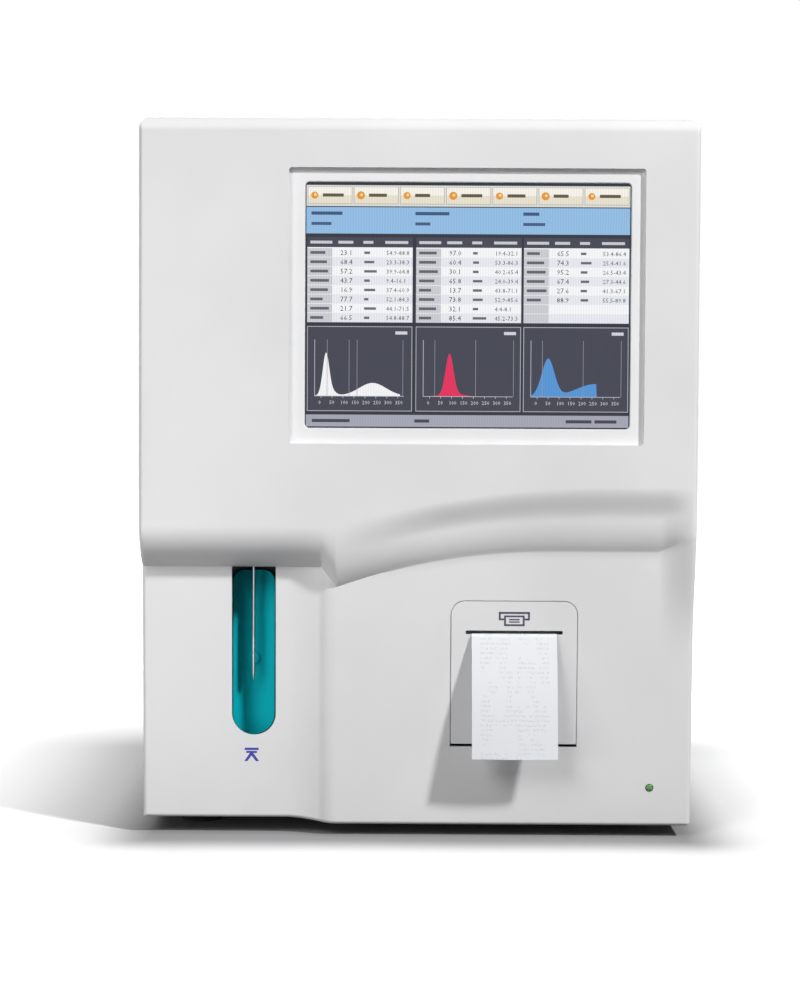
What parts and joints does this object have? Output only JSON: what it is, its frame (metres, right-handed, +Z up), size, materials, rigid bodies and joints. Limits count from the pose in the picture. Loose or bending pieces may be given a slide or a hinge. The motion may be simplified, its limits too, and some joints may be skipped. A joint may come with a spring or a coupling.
{
  "type": "hematology analyzer",
  "caption": "Benchtop blood cell counter with a recessed touch screen, a sampling needle bay with a press key, and a front paper printer behind a hinged door.",
  "frame": {"origin": "on the table, under the middle of the box round the whole instrument", "axes": "+X to the right of someone facing the screen, +Y from the screen to the rear panel, +Z up"},
  "size_m": [0.37, 0.4236, 0.48],
  "materials": {
    "shell": "satin light grey moulding",
    "bezel": "satin light grey moulding",
    "painted": "fine-textured light grey powder coat",
    "zinc": "zinc plated sheet",
    "bright_steel": "ground and polished",
    "dark_plastic": "matt black moulding",
    "teal": "satin teal moulding",
    "rubber": "matt black rubber",
    "screen": "clear glass over a lit display",
    "lens": "clear green lens",
    "paper": "thermal paper",
    "black_metal": "black enamel",
    "acrylic": "clear acrylic",
    "nylon": "natural white",
    "board": "green solder mask",
    "brass": "turned",
    "aluminium": "mill finish",
    "port": "dark grey moulding"
  },
  "bodies": {
    "case": {"front_cover": "shell", "screen_bezel": "bezel", "touch_panel": "screen", "lcd_module": "port", "display_bracket": "zinc", "probe_bay_liner": "dark_plastic", "key_switch": "port", "wash_block": "nylon", "left_guide_rod": "bright_steel", "right_guide_rod": "bright_steel", "lift_frame": "zinc", "lift_motor": "black_metal", "door_hinge_pin": "bright_steel", "printer_frame": "port", "print_head": "aluminium", "printer_motor": "black_metal", "door_latch": "port", "power_lamp": "lens", "front_left_foot": "rubber", "front_right_foot": "rubber", "rear_left_foot": "rubber", "rear_right_foot": "rubber", "base_tray": "zinc", "inner_chassis": "zinc", "left_side_panel": "painted", "right_side_panel": "painted", "top_cover": "painted", "rear_panel": "painted", "white_cell_bath": "acrylic", "red_cell_bath": "acrylic", "bath_shield": "zinc", "waste_chamber": "nylon", "vacuum_pump": "black_metal", "valve_manifold": "nylon", "syringe_bracket": "zinc", "syringe_barrel": "acrylic", "syringe_motor": "black_metal", "main_board": "board", "power_supply": "aluminium", "fan_frame": "dark_plastic", "fan_guard": "bright_steel", "power_inlet": "dark_plastic", "reagent_port_block": "nylon", "port_plate": "zinc", "earth_post": "brass"},
    "printer_door": {"printer_door": "shell", "paper_strip": "paper"},
    "platen": {"platen_roller": "rubber"},
    "pinion": {"motor_pinion": "brass"},
    "roll": {"paper_roll": "paper"},
    "aspirate_key": {"aspirate_key": "teal"},
    "probe": {"probe_carriage": "nylon", "probe_needle": "bright_steel"},
    "lift_screw": {"lift_screw": "bright_steel"},
    "plunger": {"syringe_plunger": "nylon"},
    "syringe_screw": {"syringe_screw": "bright_steel"},
    "rocker": {"power_rocker": "port"},
    "fan_rotor": {"fan_rotor": "dark_plastic"}
  },
  "joints": [
    {"name": "printer_door_hinge", "type": "hinge", "parent": "case", "child": "printer_door", "pos_m": [0.065, -0.1788, 0.06922], "axis": [1, 0, 0], "range_deg": [0, 55]},
    {"name": "platen_spin", "type": "hinge", "parent": "case", "child": "platen", "pos_m": [0.065, -0.17271, 0.13004], "axis": [1, 0, 0], "continuous": true},
    {"name": "pinion_spin", "type": "hinge", "parent": "case", "child": "pinion", "pos_m": [0.065, -0.15992, 0.13059], "axis": [1, 0, 0], "continuous": true},
    {"name": "paper_roll_spin", "type": "hinge", "parent": "case", "child": "roll", "pos_m": [0.065, -0.15135, 0.09893], "axis": [1, 0, 0], "continuous": true},
    {"name": "aspirate_key_press", "type": "slide", "parent": "case", "child": "aspirate_key", "axis": [0, 1, 0], "range_m": [0, 0.003], "stiffness_N_per_m": 400, "springref_m": -0.001},
    {"name": "probe_lift", "type": "slide", "parent": "case", "child": "probe", "axis": [0, 0, 1], "range_m": [0, 0.08]},
    {"name": "lift_screw_spin", "type": "hinge", "parent": "case", "child": "lift_screw", "pos_m": [-0.111, -0.13047, 0.275], "axis": [0, 0, 1], "range_deg": [0, 3605]},
    {"name": "syringe_push", "type": "slide", "parent": "case", "child": "plunger", "axis": [0, 0, 1], "range_m": [0, 0.03]},
    {"name": "syringe_screw_spin", "type": "hinge", "parent": "case", "child": "syringe_screw", "pos_m": [0.109, -0.05677, 0.32], "axis": [0, 0, 1], "range_deg": [0, 2705]},
    {"name": "power_rocker_tilt", "type": "hinge", "parent": "case", "child": "rocker", "pos_m": [-0.12, 0.19783, 0.086], "axis": [-1, 0, 0], "range_deg": [0, 16]},
    {"name": "fan_spin", "type": "hinge", "parent": "case", "child": "fan_rotor", "pos_m": [0.112, 0.18073, 0.368], "axis": [0, 1, 0], "continuous": true}
  ],
  "couplings": [
    {"joint": "pinion_spin", "follows": "platen_spin", "ratio": -1.6667},
    {"joint": "paper_roll_spin", "follows": "platen_spin", "ratio": -0.27273},
    {"joint": "lift_screw_spin", "follows": "probe_lift", "rad_per_m": 785.4},
    {"joint": "syringe_screw_spin", "follows": "syringe_push", "rad_per_m": 1570.8}
  ]
}
